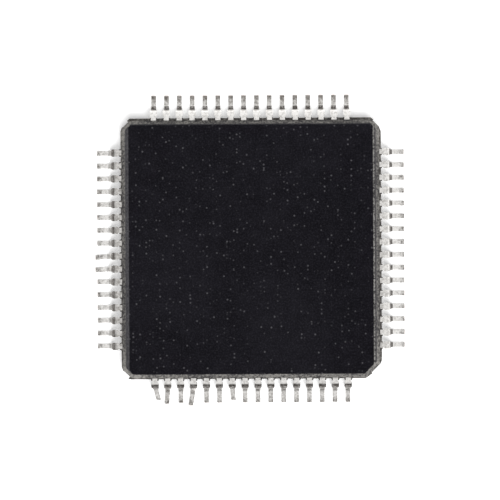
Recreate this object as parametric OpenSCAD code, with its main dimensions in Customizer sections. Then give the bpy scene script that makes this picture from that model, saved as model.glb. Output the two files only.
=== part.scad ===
// Quad flat pack chip: a low-profile surface-mount package with gull-wing leads on all four sides.
// A used part, so a few of its leads are bent. Millimetres, +Z up. The origin is the centre of the
// body on the seating plane, where the feet rest. Pin one is the top lead of the -X row, and the
// pins are numbered anticlockwise seen from above.

/* [Moulded body] */
// Side of the square body where its two halves part
body_size = 10; // [9.6:0.1:12]
// Height of the body from its underside to its top face
body_height = 1.4; // [1.2:0.1:1.8]
// Gap between the seating plane and the underside
standoff = 0.1; // [0.05:0.01:0.15]
// Draft of the side walls from the vertical, in degrees
wall_draft = 15; // [8:1:20]
// Radius of the edge between the walls and the top and bottom faces
edge_radius = 0.08; // [0.04:0.01:0.12]
// Chamfer of the corner before pin one, along each side
pin_one_chamfer = 0.32; // [0.3:0.01:0.5]
// Chamfer of the corner after the first row
second_chamfer = 0.36; // [0.3:0.01:0.5]
// Chamfer of the corner where the compound was let in
gate_chamfer = 0.56; // [0.45:0.01:0.6]
// Chamfer of the corner where the air was let out
vent_chamfer = 0.29; // [0.25:0.01:0.4]
// Radius that blends a plain corner into the walls
corner_blend = 0.3; // [0.1:0.01:0.35]
// Radius that blends the gate corner into the walls
gate_blend = 0.08; // [0.04:0.01:0.2]
// Radius that blends the vent corner into the walls
vent_blend = 0.35; // [0.2:0.01:0.4]

/* [Flash and gate] */
// How far the parting-line flash stands out from the wall on the -X side
flash_left = 0.03; // [0.02:0.01:0.08]
// How far the flash stands out on the +X side
flash_right = 0.06; // [0.02:0.01:0.08]
// How far the flash stands out on the -Y side
flash_bottom = 0.03; // [0.02:0.01:0.08]
// How far the flash stands out on the +Y side
flash_top = 0.08; // [0.02:0.01:0.09]
// How far the flash stands out round the corners
flash_corners = 0.02; // [0.01:0.01:0.05]
// Width of the flash that is left beside each lead
flash_stub_width = 0.07; // [0.04:0.01:0.09]
// How far the flash beside each lead reaches beyond the wall
flash_stub_reach = 0.1; // [0.09:0.01:0.11]
// Length of the flash that runs on past a corner's chamfer, along X
flash_tab_length = 0.26; // [0.15:0.01:0.35]
// Distance of its broken end from the side of the body
flash_tab_setback = 0.23; // [0.21:0.01:0.27]
// Length of the slant at that end
flash_tab_slant = 0.1; // [0.05:0.01:0.13]
// Height of the broken gate stub, from the top of the flash
gate_height = 0.3; // [0.2:0.01:0.4]
// Width of the gate stub, which the size of its broken edge follows
gate_width = 0.72; // [0.5:0.01:0.75]

/* [Ejector pin marks] */
// Diameter of the shallow marks on the underside
ejector_mark_diameter = 1; // [0.6:0.1:1.4]
// Depth of the marks
ejector_mark_depth = 0.03; // [0.01:0.01:0.05]
// Distance of each mark from the middle of the body, along X and along Y
ejector_mark_offset = 3.2; // [2.5:0.1:3.6]

/* [Lead rows] */
// Leads on each side
leads_per_side = 16; // [8:1:16]
// Distance between neighbouring leads
lead_pitch = 0.5; // [0.4:0.05:0.5]
// Thickness of the lead frame
lead_thickness = 0.127; // [0.1:0.001:0.15]
// Width of a lead where it leaves the body
lead_width = 0.2; // [0.17:0.01:0.22]
// Width of a lead's foot
foot_width = 0.18; // [0.15:0.01:0.22]

/* [Dam bar stubs] */
// Width of a lead across the cut ends of the dam bar
dam_stub_width = 0.28; // [0.25:0.01:0.32]
// Distance from the wall to the dam bar
dam_bar_gap = 0.13; // [0.12:0.01:0.16]
// Width of the dam bar that was cut away
dam_bar_width = 0.22; // [0.15:0.01:0.24]
// Length of the slope where a lead widens to its stubs
dam_stub_slope = 0.04; // [0.02:0.01:0.05]
// Length of the slope where it narrows again
dam_stub_taper = 0.1; // [0.05:0.01:0.12]

/* [Gull-wing form] */
// Flat length of a lead from the wall to its first bend
shoulder_length = 0.17; // [0.15:0.01:0.3]
// Centre-line radius of the bend at the shoulder
shoulder_bend = 0.15; // [0.12:0.01:0.18]
// Centre-line radius of the bend at the heel
heel_bend = 0.16; // [0.12:0.01:0.2]
// Slope of the leg below the horizontal, in degrees
leg_slope = 80; // [70:1:85]
// Flat length of the foot
foot_length = 0.41; // [0.3:0.01:0.6]

/* [Inner lead frame] */
// Side of the square die paddle
paddle_size = 5.4; // [4.6:0.1:5.6]
// How far the paddle is set down below the leads
paddle_downset = 0.2; // [0.15:0.01:0.3]
// Gap between the paddle and the inner lead tips
paddle_gap = 0.35; // [0.25:0.01:0.5]
// Width of an inner lead at its tip
inner_tip_width = 0.17; // [0.12:0.01:0.18]
// Straight length of an inner lead inside the wall
inner_straight = 0.45; // [0.3:0.01:0.6]
// Width of the tie bars that carry the paddle
tie_bar_width = 0.3; // [0.2:0.01:0.35]
// Gap between a tie bar and the nearest inner lead tip
tie_bar_clearance = 0.15; // [0.1:0.01:0.2]
// How far a cut tie bar ends behind the corner of the body
tie_bar_recess = 0.04; // [0.02:0.01:0.06]

/* [Die and wires] */
// Side of the square silicon die
die_size = 3.6; // [3:0.1:4.4]
// Thickness of the die
die_thickness = 0.28; // [0.2:0.01:0.3]
// Thickness of the adhesive under the die
attach_thickness = 0.025; // [0.02:0.005:0.04]
// How far the adhesive spreads beyond the die
attach_fillet = 0.08; // [0.04:0.01:0.15]
// Distance from the die's edge to the middle of its bond pads
pad_inset = 0.1; // [0.08:0.01:0.15]
// Distance from the die's corner to the first bond pad, along the edge
pad_margin = 0.25; // [0.2:0.01:0.4]
// Diameter of the bond wire
wire_diameter = 0.025; // [0.02:0.001:0.033]
// Diameter of the ball that welds a wire to its pad
ball_diameter = 0.07; // [0.05:0.005:0.09]
// Height of the ball
ball_height = 0.02; // [0.015:0.001:0.03]
// Height of a wire's loop above the die
loop_height = 0.18; // [0.13:0.01:0.22]
// Radius of the bend at the top of a loop
loop_bend = 0.05; // [0.04:0.005:0.07]
// How much thinner the wire is drawn out in that bend
bend_thinning = 0.001; // [0.0005:0.0005:0.002]
// Distance from the inner lead's tip to the stitch that welds the wire to it
stitch_inset = 0.15; // [0.1:0.01:0.25]
// Length of the stitch along the wire
stitch_length = 0.09; // [0.06:0.01:0.12]
// Width of the stitch
stitch_width = 0.05; // [0.04:0.01:0.07]

/* [Hidden] */
$fn = 48;

// The bent leads: pin, degrees by which its leg is steeper than the others, and the sideways shift of
// its tip as a share of the pitch. A positive shift goes anticlockwise, as the pins are numbered.
bent_leads = [
    [9, -8, 0.1],
    [10, -8, 0.06],
    [17, 15, 0.26],
    [18, -4, -0.1],
    [20, -11, -0.24],
    [23, 13, 0.09]
];

// Broken edge of the gate stub: place along the corner and reach beyond it, as shares of the width
gate_break = [
    [-0.5, 0],
    [-0.46, 0.05],
    [-0.28, 0.06],
    [-0.2, 0.1],
    [-0.12, 0.03],
    [0.05, 0.01],
    [0.18, 0.03],
    [0.28, 0.02],
    [0.44, 0.03],
    [0.5, 0]
];

side_names = ["left", "bottom", "right", "top"];
side_angles = [180, 270, 0, 90];
// Corners in the order of the pins, each before the row of its own number
corner_angles = [135, 225, 315, 45];
corner_chamfers = [pin_one_chamfer, second_chamfer, gate_chamfer, vent_chamfer];
corner_blends = [corner_blend, corner_blend, gate_blend, vent_blend];
side_flashes = [flash_left, flash_bottom, flash_right, flash_top];
gate_corner = 2;
// The gate stub covers its own corner, and the others have thick flash and open tie bar ends
open_corners = [0, 1, 3];

// The frame's level is halfway up the body, and each half ends at one of its faces
body_bottom = standoff;
body_top = standoff + body_height;
frame_middle = standoff + body_height / 2;
frame_bottom = frame_middle - lead_thickness / 2;
frame_top = frame_middle + lead_thickness / 2;
half_height = body_top - frame_top;
half_body = body_size / 2;
// Longer than any cut or slab needs
reach = 4 * body_size;
// How far a cut runs past the face that it opens
overshoot = 0.02;

// Inner lead tips stand round the paddle, between the tie bars
tip_distance = paddle_size / 2 + paddle_gap;
tip_row_half = tip_distance - (tie_bar_width / 2 + tie_bar_clearance) * sqrt(2) - inner_tip_width / 2;
tip_pitch = min(lead_pitch, 2 * tip_row_half / (leads_per_side - 1));
fan_start = half_body - inner_straight;

// Places along a lead, from the middle of the body
dam_start = half_body + dam_bar_gap;
dam_end = dam_start + dam_bar_width;
shoulder_end = half_body + shoulder_length;

// Straight cuts that stand for the arc of a bend in a lead, and for that of the body's edge
bend_steps = 8;
edge_steps = 4;
// A tie bar climbs at this angle from the paddle to the frame's level
climb_angle = 45;
// The bend of a wire runs on by this angle inside the straight wire on either side of it
bend_overlap = 4;

// Levels of the stack on the paddle
paddle_top = frame_top - paddle_downset;
attach_top = paddle_top + attach_thickness;
die_top = attach_top + die_thickness;
pad_distance = die_size / 2 - pad_inset;
pad_pitch = (die_size - 2 * pad_margin) / (leads_per_side - 1);
stitch_distance = tip_distance + stitch_inset;

lead_count = 4 * leads_per_side;
leads_per_node = 2;
node_count = lead_count / leads_per_node;

function two_digits(number) = str(number < 10 ? "0" : "", number);
function lead_node(index) = str(
    "leads_",
    two_digits(index * leads_per_node + 1),
    "_",
    two_digits(index * leads_per_node + leads_per_node)
);
function wire_node(side) = str("bond_wires_", side_names[side]);

function side_of(pin) = floor((pin - 1) / leads_per_side);
function place_in_row(pin) = (pin - 1) % leads_per_side - (leads_per_side - 1) / 2;
function bend_of(pin) = let (found = [for (bent = bent_leads) if (bent[0] == pin) bent]) len(found) > 0
    ? found[0]
    : [pin, 0, 0];

// Points on an arc, both ends included
function arc_points(centre, radius, start, end, steps) = [
    for (step = [0:steps])
        let (angle = start + (end - start) * step / steps)
        centre + radius * [cos(angle), sin(angle)]
];

// The body's outline as its walls: the way each faces, its distance from the middle and its flash.
// A corner is its chamfer and, on each side of it, the cut that stands for the blend's arc.
function corner_walls(corner) =
    let (
        blend = corner_blends[corner],
        chamfer_distance = (body_size - corner_chamfers[corner]) / sqrt(2),
        inner = half_body - blend,
        inner_edge = sqrt(2) * (chamfer_distance - blend) - inner,
        turn = 22.5,
        blend_distance = cos(turn) * inner + sin(turn) * inner_edge + blend
    )
    [
        [corner_angles[corner], chamfer_distance, flash_corners],
        [corner_angles[corner] - turn, blend_distance, flash_corners],
        [corner_angles[corner] + turn, blend_distance, flash_corners]
    ];
walls = concat(
    [for (side = [0:3]) [side_angles[side], half_body, side_flashes[side]]],
    [for (corner = [0:3]) each corner_walls(corner)]
);

// Section across one drafted wall, with the rounded edge at its top
module wall_section(distance) {
    edge_centre = [
        distance - (half_height - edge_radius) * tan(wall_draft) - edge_radius / cos(wall_draft),
        half_height - edge_radius
    ];
    polygon(concat(
        [[-reach, 0], [distance, 0]],
        arc_points(edge_centre, edge_radius, wall_draft, 90, edge_steps),
        [[-reach, half_height]]
    ));
}

// One half of the body, standing on the parting plane: what all the drafted walls leave
module body_half() {
    intersection_for (wall = walls)
        rotate(wall[0])
            rotate([90, 0, 0])
                translate([0, 0, -reach / 2])
                    linear_extrude(reach)
                        wall_section(wall[1]);
}

// The flash round the body, as thick as the lead frame, with what was left beside the leads
module flash_outline() {
    intersection_for (wall = walls)
        rotate(wall[0])
            translate([-reach, -reach / 2])
                square([reach + wall[1] + wall[2], reach]);
    for (pin = [1:lead_count])
        rotate(side_angles[side_of(pin)])
            translate([half_body - flash_stub_reach, place_in_row(pin) * lead_pitch])
                flash_stub();
    for (corner = open_corners)
        flash_tab(corner);
}

// Flash beside one lead, tapered as it tore off
module flash_stub() {
    base = lead_width / 2 + flash_stub_width;
    tip = lead_width / 2 + flash_stub_width / 2;
    polygon([
        [0, -base],
        [flash_stub_reach, -base],
        [2 * flash_stub_reach, -tip],
        [2 * flash_stub_reach, tip],
        [flash_stub_reach, base],
        [0, base]
    ]);
}

// Flash where a side along X ends at a corner: it runs on past the start of the chamfer and breaks off
module flash_tab(corner) {
    corner_x = cos(corner_angles[corner]) > 0 ? 1 : -1;
    corner_y = sin(corner_angles[corner]) > 0 ? 1 : -1;
    tab_end = half_body - flash_tab_setback;
    tab_root = half_body - corner_chamfers[corner];
    tab_edge = half_body + (corner_y > 0 ? flash_top : flash_bottom);
    scale([corner_x, corner_y])
        polygon([
            [tab_end - flash_tab_length, tab_root],
            [tab_end, tab_root],
            [tab_end, half_body],
            [tab_end - flash_tab_slant, tab_edge],
            [tab_end - flash_tab_length, tab_edge]
        ]);
}

// The stub that broke off where the runner met the gate corner
module gate_stub() {
    corner_distance = (body_size - gate_chamfer) / sqrt(2);
    rotate(corner_angles[gate_corner])
        translate([corner_distance, 0, frame_top - gate_height])
            linear_extrude(gate_height)
                polygon(concat(
                    [[-gate_width / 2, gate_width / 2], [-gate_width / 2, -gate_width / 2]],
                    [for (point = gate_break) [point[1], point[0]] * gate_width]
                ));
}

// The gull wing in side view: the slope and run of its leg, and where the foot starts and ends
function slope_of(pin) = leg_slope + bend_of(pin)[1];
function leg_run(pin) =
    let (
        slope = slope_of(pin),
        bends = shoulder_bend + heel_bend,
        straight_drop = frame_bottom - bends * (1 - cos(slope))
    )
    bends * sin(slope) + straight_drop / tan(slope);
function heel_start(pin) = shoulder_end + leg_run(pin);
function foot_end(pin) = heel_start(pin) + foot_length;

// Side view of one lead: the distance from the middle along X and the height along Y
module lead_section(pin) {
    slope = slope_of(pin);
    half_thickness = lead_thickness / 2;
    shoulder_centre = [shoulder_end, frame_middle - shoulder_bend];
    heel_centre = [heel_start(pin), half_thickness + heel_bend];
    polygon(concat(
        [[tip_distance, frame_bottom], [tip_distance, frame_top]],
        arc_points(shoulder_centre, shoulder_bend + half_thickness, 90, 90 - slope, bend_steps),
        arc_points(heel_centre, heel_bend - half_thickness, 270 - slope, 270, bend_steps),
        [[foot_end(pin), lead_thickness], [foot_end(pin), 0]],
        arc_points(heel_centre, heel_bend + half_thickness, 270, 270 - slope, bend_steps),
        arc_points(shoulder_centre, shoulder_bend - half_thickness, 90 - slope, 90, bend_steps)
    ));
}

// Plan of one lead, seen from above, pointing along +X from the middle of its row
module lead_plan(pin) {
    row_place = place_in_row(pin);
    // A bent lead leaves its straight line at the stubs and goes on slanting to its tip
    slant = bend_of(pin)[2] * lead_pitch / (foot_end(pin) - dam_end);
    // Distance from the middle, width and sideways place at each section along the lead
    sections = [
        [tip_distance, inner_tip_width, row_place * tip_pitch],
        for (outer = [
            [fan_start, lead_width],
            [dam_start, lead_width],
            [dam_start + dam_stub_slope, dam_stub_width],
            [dam_end, dam_stub_width],
            [dam_end + dam_stub_taper, lead_width],
            [heel_start(pin), foot_width],
            [foot_end(pin) + overshoot, foot_width]
        ])
            [outer[0], outer[1], row_place * lead_pitch + slant * max(0, outer[0] - dam_end)]
    ];
    polygon(concat(
        [for (section = sections) [section[0], section[2] - section[1] / 2]],
        [for (index = [len(sections) - 1:-1:0])
            [sections[index][0], sections[index][2] + sections[index][1] / 2]]
    ));
}

module lead(pin) {
    rotate(side_angles[side_of(pin)])
        intersection() {
            linear_extrude(body_top)
                lead_plan(pin);
            rotate([90, 0, 0])
                translate([0, 0, -half_body])
                    linear_extrude(body_size)
                        lead_section(pin);
        }
}

module leads(index) {
    color("#c9c8c4")
        for (step = [1:leads_per_node])
            lead(index * leads_per_node + step);
}

function tie_bar_end(corner) = (body_size - corner_chamfers[corner]) / sqrt(2) - tie_bar_recess;

// Side view of a tie bar: it leaves the paddle, climbs to the frame's level and ends at a corner
module tie_bar_section(corner) {
    paddle_corner = paddle_size / sqrt(2);
    climb_end = paddle_corner + paddle_downset / tan(climb_angle);
    bar_end = tie_bar_end(corner);
    inside = paddle_size / 2;
    // The two faces of the sheet turn at either side of its middle
    mitre = lead_thickness / 2 * tan(climb_angle / 2);
    polygon([
        [inside, paddle_top - lead_thickness],
        [paddle_corner + mitre, paddle_top - lead_thickness],
        [climb_end + mitre, frame_bottom],
        [bar_end, frame_bottom],
        [bar_end, frame_top],
        [climb_end - mitre, frame_top],
        [paddle_corner - mitre, paddle_top],
        [inside, paddle_top]
    ]);
}

// The gap at a corner of the body where a tie bar was cut off and its end shows
module tie_bar_opening(corner) {
    rotate(corner_angles[corner])
        translate([tie_bar_end(corner), -tie_bar_width / 2])
            square([reach, tie_bar_width]);
}

module die_paddle() {
    color("#b9b4a6") {
        translate([-paddle_size / 2, -paddle_size / 2, paddle_top - lead_thickness])
            cube([paddle_size, paddle_size, lead_thickness]);
        for (corner = [0:3])
            rotate(corner_angles[corner])
                rotate([90, 0, 0])
                    translate([0, 0, -tie_bar_width / 2])
                        linear_extrude(tie_bar_width)
                            tie_bar_section(corner);
    }
}

module die_attach() {
    attach_size = die_size + 2 * attach_fillet;
    color("#a9a9a2")
        translate([-attach_size / 2, -attach_size / 2, paddle_top])
            cube([attach_size, attach_size, attach_thickness]);
}

module silicon_die() {
    color("#55595f")
        translate([-die_size / 2, -die_size / 2, attach_top])
            cube([die_size, die_size, die_thickness]);
}

// One bond wire: ball, neck, bend, long span and stitch, along +X from the pad
module bond_wire(run) {
    wire_radius = wire_diameter / 2;
    bend_centre = [loop_bend, die_top + loop_height - loop_bend];
    stitch_end = [run, frame_top + wire_radius];
    to_stitch = stitch_end - bend_centre;
    span = sqrt(to_stitch * to_stitch - loop_bend * loop_bend);
    fall = atan2(-to_stitch[1], to_stitch[0]) + asin(loop_bend / norm(to_stitch));
    translate([0, 0, die_top])
        cylinder(h = ball_height, d = ball_diameter);
    translate([0, 0, die_top])
        cylinder(h = bend_centre[1] - die_top, r = wire_radius);
    translate([bend_centre[0], 0, bend_centre[1]]) {
        rotate([90, 0, 0])
            rotate(90 - fall - bend_overlap)
                rotate_extrude(angle = 90 + fall + 2 * bend_overlap)
                    translate([loop_bend, 0])
                        circle(d = wire_diameter - bend_thinning);
        rotate([0, 90 + fall, 0])
            translate([-loop_bend, 0, 0])
                cylinder(h = span, r = wire_radius);
    }
    translate([run - stitch_length / 2, -stitch_width / 2, frame_top])
        cube([stitch_length, stitch_width, wire_diameter]);
}

module wire_of(pin) {
    place = place_in_row(pin);
    pad = [pad_distance, place * pad_pitch];
    // The stitch lies on the middle line of the inner lead, which fans out from its tip
    share = stitch_inset / (fan_start - tip_distance);
    stitch = [stitch_distance, place * (tip_pitch + (lead_pitch - tip_pitch) * share)];
    rotate(side_angles[side_of(pin)])
        translate(pad)
            rotate(atan2(stitch[1] - pad[1], stitch[0] - pad[0]))
                bond_wire(norm(stitch - pad));
}

module bond_wires(side) {
    color("gold")
        for (pin = [side * leads_per_side + 1:(side + 1) * leads_per_side])
            wire_of(pin);
}

// The compound flows round everything on the frame, so each piece in it has its own exact pocket
module mould_body() {
    color("#232227")
        difference() {
            union() {
                translate([0, 0, frame_top])
                    body_half();
                translate([0, 0, frame_bottom])
                    mirror([0, 0, 1])
                        body_half();
                translate([0, 0, frame_bottom])
                    linear_extrude(lead_thickness)
                        difference() {
                            flash_outline();
                            for (pin = [1:lead_count])
                                rotate(side_angles[side_of(pin)])
                                    lead_plan(pin);
                            for (corner = open_corners)
                                tie_bar_opening(corner);
                        }
                gate_stub();
            }
            die_paddle();
            die_attach();
            silicon_die();
            for (side = [0:3])
                bond_wires(side);
            for (x = [-1, 1], y = [-1, 1])
                translate([x * ejector_mark_offset, y * ejector_mark_offset, body_bottom - overshoot])
                    cylinder(h = ejector_mark_depth + overshoot, d = ejector_mark_diameter);
        }
}

mould_body();
die_paddle();
die_attach();
silicon_die();
for (side = [0:3])
    bond_wires(side);
for (index = [0:node_count - 1])
    leads(index);
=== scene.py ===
"""The looks of a quad flat pack chip: its moulded body, its plated leads, the stage and the light.

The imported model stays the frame. This script dresses every node of it with the finish of the real
material, rounds the edges of the leads, and sets the floor, the soft studio light and the camera.
"""

from __future__ import annotations

import logging
import math
from collections.abc import Mapping
from dataclasses import dataclass, field, replace
from enum import Enum
from functools import reduce

import bmesh
import bpy
from mathutils import Euler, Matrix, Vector


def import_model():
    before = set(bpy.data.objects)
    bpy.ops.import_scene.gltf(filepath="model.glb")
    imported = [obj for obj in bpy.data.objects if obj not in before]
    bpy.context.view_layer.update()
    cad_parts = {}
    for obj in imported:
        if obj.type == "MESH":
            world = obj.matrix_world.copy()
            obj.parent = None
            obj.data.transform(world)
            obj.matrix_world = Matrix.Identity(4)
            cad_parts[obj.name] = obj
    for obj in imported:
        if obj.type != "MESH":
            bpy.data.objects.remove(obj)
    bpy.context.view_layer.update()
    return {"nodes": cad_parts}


LOG = logging.getLogger("chip")
MM = 0.001
PER_MM = 1 / MM
OCTAVE_STRENGTH = 0.6
WHITE = (1.0, 1.0, 1.0, 1.0)

Socket = bpy.types.NodeSocket


class Slot(Enum):
    """The record's material slots, by the material that fills them."""

    COMPOUND = "mould_compound"
    PLATING = "lead_plating"
    PADDLE = "paddle_plating"
    EPOXY = "silver_epoxy"
    SILICON = "silicon"
    GOLD = "gold_wire"


def linear(hex_colour: str) -> tuple[float, float, float, float]:
    """Turn an sRGB hex colour into a linear one.

    Args:
        hex_colour: Six hex digits after a hash sign.

    Returns:
        Red, green, blue and an alpha of one, all linear.
    """
    parts = [int(hex_colour[i : i + 2], 16) / 255 for i in (1, 3, 5)]
    red, green, blue = (c / 12.92 if c <= 0.04045 else ((c + 0.055) / 1.055) ** 2.4 for c in parts)
    return red, green, blue, 1.0


def add_node(
    tree: bpy.types.NodeTree,
    kind: str,
    inputs: Mapping[str | int, object] | None = None,
    **settings: object,
) -> bpy.types.Node:
    """Add a node to a tree, with its settings, its values and the links that lead into it.

    Args:
        tree: The node tree of a material or of the world.
        kind: The node's type name, without the leading ShaderNode.
        inputs: A value for each input socket, or the output socket that feeds it.
        **settings: Properties of the node itself.

    Returns:
        The new node.
    """
    node = tree.nodes.new("ShaderNode" + kind)
    for name, value in settings.items():
        setattr(node, name, value)
    for key, value in (inputs or {}).items():
        socket = node.inputs[key]
        if isinstance(value, bpy.types.NodeSocket):
            tree.links.new(value, socket)
        else:
            socket.default_value = value
    return node


def join(tree: bpy.types.NodeTree, operation: str, *values: object) -> Socket:
    """Join any number of values, two by two, with one operation.

    Args:
        tree: The node tree of a material or of the world.
        operation: The operation's name, such as ADD or MAXIMUM.
        *values: Numbers or output sockets.

    Returns:
        The output socket of the last operation.
    """

    def pair(first: object, second: object) -> Socket:
        """Join two of the values."""
        return add_node(tree, "Math", {0: first, 1: second}, operation=operation).outputs[0]

    return reduce(pair, values)


@dataclass(frozen=True)
class Mottle:
    """Patches of one size in a surface: a grain, a drift, streaks or flecks.

    Attributes:
        grain: Size of a patch in millimetres.
        start: Level of the noise at which a patch starts to show.
        end: Level at which it shows in full.
        low: The result outside the patches.
        high: The result in them.
        detail: Octaves of finer noise on top.
        shift: Moves the pattern, so that two of the same grain differ.
        drawn: How many times taller than wide the patches are.
    """

    grain: float
    start: float = 0.3
    end: float = 0.7
    low: float = 0.0
    high: float = 1.0
    detail: float = 3.0
    shift: float = 0.0
    drawn: float = 1.0


class Pattern:
    """Places and masks on the part, in millimetres, from its own object coordinates."""

    def __init__(self, tree: bpy.types.NodeTree) -> None:
        """Read the object coordinates and scale them to millimetres.

        Args:
            tree: The material's node tree.
        """
        self.tree = tree
        coordinates = add_node(tree, "TexCoord")
        inputs = {0: coordinates.outputs["Object"], "Scale": PER_MM}
        self.place = add_node(tree, "VectorMath", inputs, operation="SCALE").outputs["Vector"]
        self.facing = coordinates.outputs["Normal"]
        axes = add_node(tree, "SeparateXYZ", {0: self.place})
        self.x, self.y, self.z = (axes.outputs[axis] for axis in "XYZ")

    def total(self, *values: object) -> Socket:
        """Add up any number of values."""
        return join(self.tree, "ADD", *values)

    def product(self, *values: object) -> Socket:
        """Multiply any number of values."""
        return join(self.tree, "MULTIPLY", *values)

    def size(self, value: Socket) -> Socket:
        """Take a value without its sign."""
        return add_node(self.tree, "Math", {0: value}, operation="ABSOLUTE").outputs[0]

    def along(self, vector: Socket, way: Vector) -> Socket:
        """Measure how far a place or a facing reaches in a direction."""
        inputs = {0: vector, 1: tuple(way)}
        return add_node(self.tree, "VectorMath", inputs, operation="DOT_PRODUCT").outputs["Value"]

    def noise(self, mottle: Mottle) -> Socket:
        """Cloudy noise whose lumps have a mottle's size.

        Args:
            mottle: The size, detail, shift and drawing out of the lumps.

        Returns:
            A value round a half.
        """
        inputs = {0: self.place, 1: (1, 1, 1 / mottle.drawn), 2: (mottle.shift,) * 3}
        moved = add_node(self.tree, "VectorMath", inputs, operation="MULTIPLY_ADD").outputs["Vector"]
        inputs = {
            "Vector": moved,
            "Scale": 1 / mottle.grain,
            "Detail": mottle.detail,
            "Roughness": OCTAVE_STRENGTH,
        }
        return add_node(self.tree, "TexNoise", inputs).outputs["Fac"]

    def patches(self, mottle: Mottle) -> Socket:
        """Noise as a mottle shows it, from its low to its high."""
        return self.mask(self.noise(mottle), mottle.start, mottle.end, mottle.low, mottle.high)

    def mask(
        self, value: Socket, start: float, end: float, low: float = 0.0, high: float = 1.0
    ) -> Socket:
        """Rise smoothly from low to high as a value goes from start to end.

        Args:
            value: The value that is looked at.
            start: Where the rise starts.
            end: Where it ends. It may be less than start, and the mask then falls.
            low: The result at start.
            high: The result at end.

        Returns:
            The mask.
        """
        inputs = {"Value": value, "From Min": start, "From Max": end, "To Min": low, "To Max": high}
        ramp = add_node(self.tree, "MapRange", inputs, interpolation_type="SMOOTHSTEP")
        return ramp.outputs["Result"]

    def band(self, value: Socket, start: float, end: float, soft: float) -> Socket:
        """One between start and end, and nought beyond them.

        Args:
            value: The value that is looked at.
            start: Where the band starts.
            end: Where it ends.
            soft: Half the width over which it rises and falls.

        Returns:
            The mask.
        """
        rise = self.mask(value, start - soft, start + soft)
        fall = self.mask(value, end + soft, end - soft)
        return self.product(rise, fall)

    def layers(self, base: object, *covers: tuple[Socket, object]) -> Socket:
        """Lay colours over a base, one after another.

        Args:
            base: The lowest colour.
            *covers: The share and the colour of each layer on top.

        Returns:
            The colour that shows.
        """
        colour = base
        for share, cover in covers:
            inputs = {0: share, 6: colour, 7: cover}
            colour = add_node(self.tree, "Mix", inputs, data_type="RGBA").outputs[2]
        return colour

    def relief(self, mottle: Mottle, depth: float, strength: float) -> Socket:
        """Raise a mottle from the surface.

        Args:
            mottle: The pattern of the heights.
            depth: Its real depth in millimetres.
            strength: How much of it shows.

        Returns:
            The bumped normal.
        """
        inputs = {"Height": self.noise(mottle), "Distance": depth * MM, "Strength": strength}
        return add_node(self.tree, "Bump", inputs).outputs["Normal"]


class Finish:
    """A material that can be put on a node of the frame."""

    def build(self) -> bpy.types.Material:
        """Make the material."""
        raise NotImplementedError

    @staticmethod
    def start(name: str) -> tuple[bpy.types.Material, bpy.types.NodeTree, bpy.types.Node]:
        """Start a material with an empty tree, one shader and its output.

        Args:
            name: The material's name.

        Returns:
            The material, its node tree and its shader.
        """
        material = bpy.data.materials.new(name)
        material.use_nodes = True
        tree = material.node_tree
        tree.nodes.clear()
        shader = add_node(tree, "BsdfPrincipled")
        add_node(tree, "OutputMaterial", {"Surface": shader.outputs[0]})
        return material, tree, shader


@dataclass(frozen=True)
class WornAndHighlitEdge:
    """A strip just inside one edge of the top face, lighter than the face: partly worn by rubbing,
    partly painted highlight.

    The rubbing breaks the skin of resin, so the filler shows as a pale haze in flecks. The sheen of the
    rounded edge is painted into the strip too, brightest on the +X side, where the light comes from.

    Attributes:
        way: The direction of the edge from the middle of the part.
        start: Where the strip starts, in millimetres out from the middle.
        end: Where it ends.
        colour: Colour of the haze and of the painted highlight.
        amount: How much of it covers the compound.
        flecks: How far it breaks up into flecks, from nought to one.
    """

    way: Vector
    start: float
    end: float
    colour: str
    amount: float
    flecks: float


# Edge wear with a painted highlight of the rounded edge; the pale first strip on +X carries the most
# painted highlight.
WORN_AND_HIGHLIT_EDGES = (
    WornAndHighlitEdge(Vector((1, 0, 0)), start=4.73, end=4.79, colour="#a09e9b", amount=0.85, flecks=0.9),
    WornAndHighlitEdge(Vector((1, 0, 0)), start=4.79, end=4.87, colour="#5a585a", amount=0.8, flecks=0.5),
    WornAndHighlitEdge(Vector((-1, 0, 0)), start=4.71, end=4.87, colour="#58575a", amount=0.85, flecks=0.5),
    WornAndHighlitEdge(Vector((0, 1, 0)), start=4.80, end=4.88, colour="#4c4b4e", amount=0.7, flecks=0.6),
)


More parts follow.
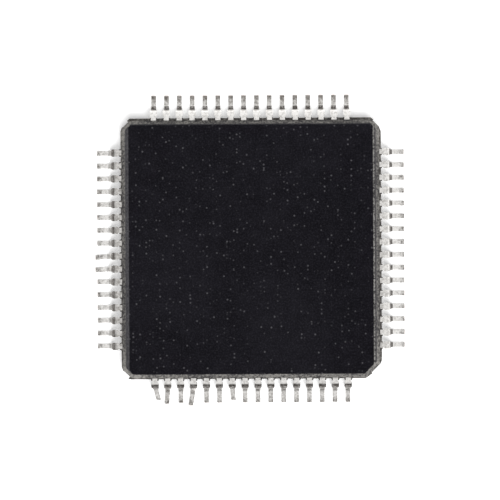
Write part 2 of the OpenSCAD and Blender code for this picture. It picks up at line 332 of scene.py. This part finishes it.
@dataclass(frozen=True)
class MouldedEpoxy(Finish):
    """Epoxy compound filled with silica, transfer moulded in eroded steel.

    The broad faces are matt and near black, with a fine uneven grain and a sparse sparkle of filler.
    The walls scraped along the mould as the part was pushed out, so they are streaked upwards, and
    their pale grey is partly that scraped skin and partly a painted reflection of the white floor. The
    flash that squeezed out between the mould's halves is thin, dark and ragged.

    The real filler is 0.02 to 0.07 mm across, which is too fine to show, so the grains are drawn up
    to 0.09 mm and the sparkle in cells of 0.13 mm.
    """

    name: str = "moulded_epoxy_compound"
    face_dark: str = "#0d0c10"
    face_light: str = "#2b2a30"
    sparkle: str = "#6f6e72"
    # Greys of the walls: scraped skin, with a painted reflection of the floor in the lighter one.
    wall_dark: str = "#4b494a"
    wall_pale_skin_and_reflection: str = "#a3a09b"
    flash: str = "#4a4744"
    shine: float = 0.06
    roughness: Mottle = Mottle(grain=0.08, shift=5.0, low=0.62, high=0.82)
    skin: Mottle = Mottle(grain=0.05, shift=2.0)
    skin_depth: float = 0.004
    skin_strength: float = 0.6
    face_grain: Mottle = Mottle(grain=0.065, start=0.4, end=0.84, low=0.12, high=0.85)
    face_lumps: Mottle = Mottle(grain=0.5, shift=13.0, start=0.35, end=0.75, low=-0.05, high=0.1)
    face_drift: Mottle = Mottle(grain=3.0, detail=2.0, shift=9.0, low=-0.05, high=0.1)
    sparkle_cell: float = 0.13
    sparkle_chance: float = 0.72
    sparkle_amount: float = 0.5
    sparkle_edge: float = 0.4
    sparkle_core: float = 0.1
    wall_streaks: Mottle = Mottle(grain=0.09, shift=3.0, drawn=5.0, low=-0.5, high=0.5)
    wall_clouds: Mottle = Mottle(grain=0.9, detail=2.0, shift=7.0, low=0.15, high=0.55)
    corner_start: float = 8.6
    corner_end: float = 9.6
    corner_lift: float = 0.35
    flash_gaps: Mottle = Mottle(grain=0.16, shift=11.0, start=0.35, end=0.6, low=1.0, high=0.3)
    level_facing: float = 0.75
    wall_facing: float = 0.45
    flash_low: float = 0.70
    flash_high: float = 0.90
    flash_soft: float = 0.01
    face_level: float = 1.44
    face_reach: float = 0.08
    edge_flecks: Mottle = Mottle(grain=0.07, shift=4.0, start=0.36, end=0.62)
    edge_soft: float = 0.015

    def build(self) -> bpy.types.Material:
        """Make the material.

        Returns:
            The finished material.
        """
        material, tree, shader = self.start(self.name)
        pattern = Pattern(tree)
        # Edge wear and painted highlight along the top face's edges.
        worn_and_highlit = [(self.worn_and_highlit_share(pattern, edge), linear(edge.colour)) for edge in WORN_AND_HIGHLIT_EDGES]
        # Walls: scraped skin with a painted reflection of the floor.
        walls = (self.wall_share(pattern), self.wall_skin_and_reflection(pattern))
        colour = pattern.layers(self.face_colour(pattern), walls, *worn_and_highlit)
        tree.links.new(colour, shader.inputs["Base Color"])
        tree.links.new(pattern.patches(self.roughness), shader.inputs["Roughness"])
        shader.inputs["Specular IOR Level"].default_value = self.shine
        relief = pattern.relief(self.skin, self.skin_depth, self.skin_strength)
        tree.links.new(relief, shader.inputs["Normal"])
        return material

    def face_colour(self, pattern: Pattern) -> Socket:
        """Near black with a fine grain, slow drifts and a sparse sparkle of filler.

        Args:
            pattern: Places on the part.

        Returns:
            The colour.
        """
        lightness = pattern.total(
            *(pattern.patches(mottle) for mottle in (self.face_grain, self.face_lumps, self.face_drift))
        )
        inputs = {"Vector": pattern.place, "Scale": 1 / self.sparkle_cell}
        cells = add_node(pattern.tree, "TexVoronoi", inputs)
        chance = add_node(pattern.tree, "SeparateXYZ", {0: cells.outputs["Color"]}).outputs["X"]
        rare = pattern.mask(chance, self.sparkle_chance, 1.0, 0.0, self.sparkle_amount)
        spot = pattern.mask(cells.outputs["Distance"], self.sparkle_edge, self.sparkle_core)
        return pattern.layers(
            linear(self.face_dark),
            (lightness, linear(self.face_light)),
            (pattern.product(rare, spot), linear(self.sparkle)),
        )

    def flash_share(self, pattern: Pattern) -> Socket:
        """One at the height of the flash, between the mould's halves."""
        return pattern.band(pattern.z, self.flash_low, self.flash_high, self.flash_soft)

    def wall_share(self, pattern: Pattern) -> Socket:
        """One on the walls and the flash, nought on the two broad faces.

        Args:
            pattern: Places on the part.

        Returns:
            The mask.
        """
        up = add_node(pattern.tree, "SeparateXYZ", {0: pattern.facing}).outputs["Z"]
        tilted = pattern.mask(pattern.size(up), self.level_facing, self.wall_facing)
        return join(pattern.tree, "MAXIMUM", tilted, self.flash_share(pattern))

    def wall_skin_and_reflection(self, pattern: Pattern) -> Socket:
        """Scraped warm grey in streaks with a painted reflection of the floor, lighter towards the
        corners, with the dark flash round the middle.

        Args:
            pattern: Places on the part.

        Returns:
            The colour.
        """
        across = pattern.total(pattern.size(pattern.x), pattern.size(pattern.y))
        corner = pattern.mask(across, self.corner_start, self.corner_end, 0.0, self.corner_lift)
        streaks, clouds = pattern.patches(self.wall_streaks), pattern.patches(self.wall_clouds)
        ragged = pattern.product(self.flash_share(pattern), pattern.patches(self.flash_gaps))
        return pattern.layers(
            linear(self.wall_dark),
            (pattern.total(streaks, clouds, corner), linear(self.wall_pale_skin_and_reflection)),
            (ragged, linear(self.flash)),
        )

    def worn_and_highlit_share(self, pattern: Pattern, edge: WornAndHighlitEdge) -> Socket:
        """How much one edge's wear and painted highlight shows.

        Args:
            pattern: Places on the part.
            edge: The edge.

        Returns:
            Its share, from nought to one.
        """
        out = pattern.along(pattern.place, edge.way)
        strip = pattern.band(out, edge.start, edge.end, self.edge_soft)
        top = pattern.mask(pattern.z, self.face_level - self.face_reach, self.face_level)
        flecks = pattern.patches(replace(self.edge_flecks, low=1 - edge.flecks))
        return pattern.product(strip, top, flecks, edge.amount)


@dataclass(frozen=True)
class LeadRowShade:
    """How the leads of one side are darkened, by the distance out from the middle of the part.

    The dark stretch over the bends, and the darker shoulders and feet of some sides, are painted shade,
    set row by row where the light falls differently on each side.

    Attributes:
        way: The direction of the row from the middle of the part.
        shade_start: Where the painted shade over the bends starts, in millimetres.
        shade_end: Where it ends.
        shoulder_shade: How much painted shade darkens the shoulders, from nought to one.
        foot: How much painted shade darkens the feet.
        toe_darkening: How much darker still the toes are.
    """

    way: Vector
    shade_start: float
    shade_end: float
    shoulder_shade: float
    foot: float
    toe_darkening: float


# Painted shade of each row, over its bends and on its shoulders and feet, placed where the light falls
# on that side.
LEAD_ROW_SHADES = (
    LeadRowShade(Vector((1, 0, 0)), shade_start=5.385, shade_end=5.51, shoulder_shade=0.22, foot=0.0, toe_darkening=0.55),
    LeadRowShade(Vector((-1, 0, 0)), shade_start=5.29, shade_end=5.42, shoulder_shade=0.45, foot=0.05, toe_darkening=0.5),
    LeadRowShade(Vector((0, 1, 0)), shade_start=5.42, shade_end=5.58, shoulder_shade=0.0, foot=0.5, toe_darkening=0.5),
    LeadRowShade(Vector((0, -1, 0)), shade_start=5.235, shade_end=5.40, shoulder_shade=0.05, foot=0.25, toe_darkening=0.35),
)


@dataclass(frozen=True)
class TinPlate(Finish):
    """Matt tin plated on copper alloy, formed in a die and used in a socket.

    The plating has a soft sheen. It is tarnished in patches, and painted shade darkens it over the
    bends and, on some sides, over the shoulders and feet, where the light falls on each row
    differently. The feet are marked and greyer towards the toes. The toes were cut after plating, so
    their ends show the bare copper. Its crystals are a few thousandths of a millimetre across, which is
    too fine to show, so the grain is drawn at 0.06 to 0.1 mm.
    """

    name: str = "matt_tin_plating"
    bright: str = "#f2f0ed"
    # The tarnish colour also paints the shade on shoulders and feet; the dark colour paints the shade
    # over the bends and the socket marks.
    tarnish_and_shade: str = "#8f8b86"
    dark: str = "#5e5955"
    copper: str = "#a06a48"
    roughness: Mottle = Mottle(grain=0.06, shift=1.0, low=0.3, high=0.48)
    crystals: Mottle = Mottle(grain=0.07, shift=6.0)
    crystal_depth: float = 0.004
    crystal_strength: float = 0.5
    tarnish_patches: Mottle = Mottle(grain=0.1, start=0.34, low=-0.18, high=0.4)
    bend_shade_streaks: Mottle = Mottle(grain=0.08, detail=2.0, shift=12.0, end=0.6, low=0.65)
    socket_marks: Mottle = Mottle(grain=0.08, detail=2.0, shift=8.0, start=0.5, end=0.62)
    marks_amount: float = 0.8
    body_edge: float = 5.0
    shoulder_soft: float = 0.02
    bend_soft: float = 0.025
    heel_fade: float = 0.05
    foot_start: float = 5.6
    toe_start: float = 5.74
    toe_end: float = 5.95
    cut_start: float = 5.85
    cut_fade: float = 0.01
    cut_facing: tuple[float, float] = (0.9, 0.95)

    def build(self) -> bpy.types.Material:
        """Make the material.

        Returns:
            The finished material.
        """
        material, tree, shader = self.start(self.name)
        pattern = Pattern(tree)
        # Real tarnish in patches, with each row's painted shade on top; then the painted shade over the
        # bends and the socket marks.
        patches = pattern.patches(self.tarnish_patches)
        tarnish_and_shade = pattern.total(patches, *(self.row_shade(pattern, row) for row in LEAD_ROW_SHADES))
        dark = pattern.total(*(self.row_bend_shade_and_marks(pattern, row) for row in LEAD_ROW_SHADES))
        cut = pattern.total(*(self.cut_end(pattern, row) for row in LEAD_ROW_SHADES))
        colour = pattern.layers(
            linear(self.bright),
            (tarnish_and_shade, linear(self.tarnish_and_shade)),
            (dark, linear(self.dark)),
            (cut, linear(self.copper)),
        )
        tree.links.new(colour, shader.inputs["Base Color"])
        shader.inputs["Metallic"].default_value = 1.0
        tree.links.new(pattern.patches(self.roughness), shader.inputs["Roughness"])
        relief = pattern.relief(self.crystals, self.crystal_depth, self.crystal_strength)
        tree.links.new(relief, shader.inputs["Normal"])
        return material

    def row_shade(self, pattern: Pattern, row: LeadRowShade) -> Socket:
        """Painted shade of one row on its shoulders and feet, and darkening towards its toes.

        Args:
            pattern: Places on the part.
            row: The row.

        Returns:
            The share of painted shade and of the darker toes.
        """
        out = pattern.along(pattern.place, row.way)
        on_shoulder = pattern.band(out, self.body_edge, row.shade_end, self.shoulder_soft)
        on_foot = pattern.mask(out, row.shade_end, row.shade_end + self.heel_fade)
        at_toe = pattern.mask(out, self.toe_start, self.toe_end)
        return pattern.total(
            pattern.product(on_shoulder, row.shoulder_shade),
            pattern.product(on_foot, row.foot),
            pattern.product(at_toe, row.toe_darkening),
        )

    def row_bend_shade_and_marks(self, pattern: Pattern, row: LeadRowShade) -> Socket:
        """Painted shade in streaks over the bends of one row, and the marks of a socket's contacts on
        its feet.

        Args:
            pattern: Places on the part.
            row: The row.

        Returns:
            The share of the dark colour.
        """
        out = pattern.along(pattern.place, row.way)
        bend = pattern.band(out, row.shade_start, row.shade_end, self.bend_soft)
        foot = pattern.mask(out, self.foot_start, self.toe_end, 0.0, self.marks_amount)
        return pattern.total(
            pattern.product(bend, pattern.patches(self.bend_shade_streaks)),
            pattern.product(pattern.patches(self.socket_marks), foot),
        )

    def cut_end(self, pattern: Pattern, row: LeadRowShade) -> Socket:
        """One on the cut ends of one row's toes.

        Args:
            pattern: Places on the part.
            row: The row.

        Returns:
            The mask.
        """
        out = pattern.along(pattern.place, row.way)
        beyond = pattern.mask(out, self.cut_start, self.cut_start + self.cut_fade)
        outward = pattern.mask(pattern.along(pattern.facing, row.way), *self.cut_facing)
        return pattern.product(beyond, outward)


@dataclass(frozen=True)
class PlainMetal(Finish):
    """A material inside the body, in slow clouds of two colours: plated, cured, polished or drawn."""

    name: str
    light: str
    dark: str
    clouds: Mottle
    metallic: float = 1.0

    def build(self) -> bpy.types.Material:
        """Make the material.

        Returns:
            The finished material, rougher where it is lighter.
        """
        material, tree, shader = self.start(self.name)
        pattern = Pattern(tree)
        colour = pattern.layers(linear(self.dark), (pattern.noise(self.clouds), linear(self.light)))
        tree.links.new(colour, shader.inputs["Base Color"])
        shader.inputs["Metallic"].default_value = self.metallic
        tree.links.new(pattern.patches(self.clouds), shader.inputs["Roughness"])
        return material


# Copper alloy plated with silver in spots: warm, with a soft even sheen.
SILVER_PLATE = PlainMetal(
    "silver_plated_copper_alloy", "#cfc8ba", "#a89f8e", Mottle(grain=0.2, low=0.25, high=0.4)
)
# Epoxy full of silver flakes, dispensed and cured: dull grey, with fine specks.
SILVER_EPOXY = PlainMetal(
    "cured_silver_epoxy", "#a5a49e", "#77756f", Mottle(grain=0.06, low=0.55, high=0.75), metallic=0.4
)
# Silicon polished and sealed with a thin glassy layer: smooth, blue grey and nearly a mirror.
SEALED_SILICON = PlainMetal(
    "passivated_silicon", "#5b6270", "#3f4450", Mottle(grain=0.3, low=0.12, high=0.25), metallic=0.3
)
# Gold drawn to wire through a die: bright, smooth and yellow.
DRAWN_GOLD = PlainMetal(
    "drawn_gold_wire", "#e8bd62", "#c99a3e", Mottle(grain=0.05, low=0.2, high=0.3)
)


@dataclass
class Chip:
    """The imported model's nodes, each with the finish of its real material.

    Attributes:
        nodes: The nodes by their names.
        lead_edge: Width of the rounding along a lead's edges, in millimetres.
        edge_angle: Least angle of an edge that is rounded, in degrees.
        edge_steps: Faces across the rounding.
        weld_reach: How near two corners are that are one, in millimetres.
        finishes: The finish of each slot.
    """

    nodes: dict[str, bpy.types.Object]
    lead_edge: float = 0.012
    edge_angle: float = 50.0
    edge_steps: int = 2
    weld_reach: float = 0.0001
    finishes: dict[Slot, Finish] = field(
        default_factory=lambda: {
            Slot.COMPOUND: MouldedEpoxy(),
            Slot.PLATING: TinPlate(),
            Slot.PADDLE: SILVER_PLATE,
            Slot.EPOXY: SILVER_EPOXY,
            Slot.SILICON: SEALED_SILICON,
            Slot.GOLD: DRAWN_GOLD,
        }
    )

    @staticmethod
    def slot_of(name: str) -> Slot:
        """Say which slot a node belongs to.

        Args:
            name: The node's name.

        Returns:
            The record's slot.
        """
        if name.startswith("leads"):
            return Slot.PLATING
        if name.startswith("bond_wires"):
            return Slot.GOLD
        return {
            "mould_body": Slot.COMPOUND,
            "die_paddle": Slot.PADDLE,
            "die_attach": Slot.EPOXY,
            "silicon_die": Slot.SILICON,
        }[name]

    def dress(self) -> None:
        """Put each node's finish on it and round the edges of the leads."""
        made = {slot: finish.build() for slot, finish in self.finishes.items()}
        for name, node in sorted(self.nodes.items()):
            slot = self.slot_of(name)
            node.data.materials.clear()
            node.data.materials.append(made[slot])
            if slot is Slot.PLATING:
                self.round_edges(node)
            LOG.info("dressed %s in %s", name, made[slot].name)

    def round_edges(self, node: bpy.types.Object) -> None:
        """Round the stamped edges of a node of leads, as their plating does.

        Args:
            node: The node.
        """
        weld = node.modifiers.new("weld", "WELD")
        weld.merge_threshold = self.weld_reach * MM
        bevel = node.modifiers.new("plated_edge", "BEVEL")
        bevel.width = self.lead_edge * MM
        bevel.segments = self.edge_steps
        bevel.limit_method = "ANGLE"
        bevel.angle_limit = math.radians(self.edge_angle)


@dataclass
class Studio:
    """A pale floor, soft light from above and the camera straight over the part.

    Attributes:
        floor_half: Half the floor's side, in metres.
        floor_colour: Colour of the paper on the floor.
        floor_lift: How much the paper glows to the camera, mirrors and clear material.
        key_strength: Strength of the key light.
        key_tilt: How far the key leans from straight above, in degrees.
        key_turn: Its turn round the upright, in degrees.
        key_spread: How large it looks from the part, in degrees.
        fill: Strength of the even light from all round.
        mirror_way: Where the studio is brightest in the metal's reflections.
        mirror_reach: Between which leans towards that side its brightness rises.
        mirror_level: That brightness, at its lowest and at its highest.
        lens: Focal length in millimetres.
        sensor: Width of the sensor in millimetres.
        view_width: Width of the view at focus_level, in millimetres.
        focus_level: Height above the floor at which it is that wide, in millimetres.
        view_middle: The point the camera hangs over, in millimetres.
        roll: Turn of the camera round its own axis, in degrees.
        clip_share: The near clip as a share of the camera's height.
        clip_floors: The far clip in half sides of the floor.
    """

    floor_half: float = 1.5
    floor_colour: str = "#fdfdfd"
    floor_lift: float = 0.4
    key_strength: float = 2.5
    key_tilt: float = 17.5
    key_turn: float = 22.0
    key_spread: float = 28.0
    fill: float = 0.25
    mirror_way: tuple[float, float, float] = (0.35, 0.55, 0.75)
    mirror_reach: tuple[float, float] = (-0.2, 0.9)
    mirror_level: tuple[float, float] = (0.35, 1.1)
    lens: float = 300.0
    sensor: float = 36.0
    view_width: float = 19.43
    focus_level: float = 0.4
    view_middle: tuple[float, float] = (-0.0332, -0.0387)
    roll: float = -0.32
    clip_share: float = 0.1
    clip_floors: float = 10.0

    def build(self) -> None:
        """Set up everything that isn't the part."""
        self.make_floor()
        self.make_world()
        self.make_key()
        self.make_camera()
        bpy.context.scene.view_settings.view_transform = "Standard"
        LOG.info("set the floor, the light and the camera")

    def make_floor(self) -> None:
        """Lay the floor at the seating plane, white to the camera and to the metal."""
        mesh = bpy.data.meshes.new("floor")
        shape = bmesh.new()
        bmesh.ops.create_grid(shape, x_segments=1, y_segments=1, size=self.floor_half)
        shape.to_mesh(mesh)
        shape.free()
        floor = bpy.data.objects.new("floor", mesh)
        bpy.context.scene.collection.objects.link(floor)
        material = bpy.data.materials.new("white_paper")
        material.use_nodes = True
        tree = material.node_tree
        tree.nodes.clear()
        paper = add_node(tree, "BsdfDiffuse", {"Color": linear(self.floor_colour)})
        path = add_node(tree, "LightPath").outputs
        rays = ("Is Camera Ray", "Is Glossy Ray", "Is Transmission Ray")
        seen = join(tree, "MAXIMUM", *(path[ray] for ray in rays))
        lift = join(tree, "MULTIPLY", seen, self.floor_lift)
        glow = add_node(tree, "Emission", {"Color": WHITE, "Strength": lift})
        both = add_node(tree, "AddShader", {0: paper.outputs[0], 1: glow.outputs[0]})
        add_node(tree, "OutputMaterial", {"Surface": both.outputs[0]})
        mesh.materials.append(material)

    def make_world(self) -> None:
        """Fill light, the studio that the metal mirrors, and a white backdrop."""
        world = bpy.data.worlds.new("studio")
        bpy.context.scene.world = world
        world.use_nodes = True
        tree = world.node_tree
        tree.nodes.clear()
        path = add_node(tree, "LightPath").outputs
        way = add_node(tree, "TexCoord").outputs["Generated"]
        inputs = {0: way, 1: Vector(self.mirror_way).normalized()}
        lean = add_node(tree, "VectorMath", inputs, operation="DOT_PRODUCT").outputs["Value"]
        ends = ("From Min", "From Max", "To Min", "To Max")
        inputs = {"Value": lean, **dict(zip(ends, self.mirror_reach + self.mirror_level))}
        mirrored = add_node(tree, "MapRange", inputs).outputs["Result"]
        inputs = {0: path["Is Glossy Ray"], 2: self.fill, 3: mirrored}
        level = add_node(tree, "Mix", inputs, data_type="FLOAT").outputs[0]
        shown = join(tree, "MAXIMUM", path["Is Camera Ray"], path["Is Transmission Ray"])
        inputs = {0: shown, 2: level, 3: 1.0}
        strength = add_node(tree, "Mix", inputs, data_type="FLOAT").outputs[0]
        backdrop = add_node(tree, "Background", {"Color": WHITE, "Strength": strength})
        add_node(tree, "OutputWorld", {"Surface": backdrop.outputs[0]})

    def make_key(self) -> None:
        """Hang the large soft key light above the near right side."""
        lamp = bpy.data.lights.new("key", "SUN")
        lamp.energy = self.key_strength
        lamp.angle = math.radians(self.key_spread)
        key = bpy.data.objects.new("key", lamp)
        key.rotation_euler = Euler((math.radians(self.key_tilt), 0, math.radians(self.key_turn)))
        key.visible_glossy = False
        bpy.context.scene.collection.objects.link(key)

    def make_camera(self) -> None:
        """Hang the camera straight over the part, with a long lens."""
        camera = bpy.data.cameras.new("camera")
        camera.lens = self.lens
        camera.sensor_width = self.sensor
        height = self.view_width * self.lens / self.sensor + self.focus_level
        camera.clip_start = height * MM * self.clip_share
        camera.clip_end = self.clip_floors * self.floor_half
        holder = bpy.data.objects.new("camera", camera)
        holder.location = Vector((*self.view_middle, height)) * MM
        holder.rotation_euler = Euler((0, 0, math.radians(self.roll)))
        bpy.context.scene.collection.objects.link(holder)
        bpy.context.scene.camera = holder


def main() -> None:
    """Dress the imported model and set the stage."""
    logging.basicConfig(level=logging.INFO, format="%(name)s: %(message)s")
    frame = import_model()
    Chip(frame["nodes"]).dress()
    Studio().build()


if __name__ == "__main__":
    main()
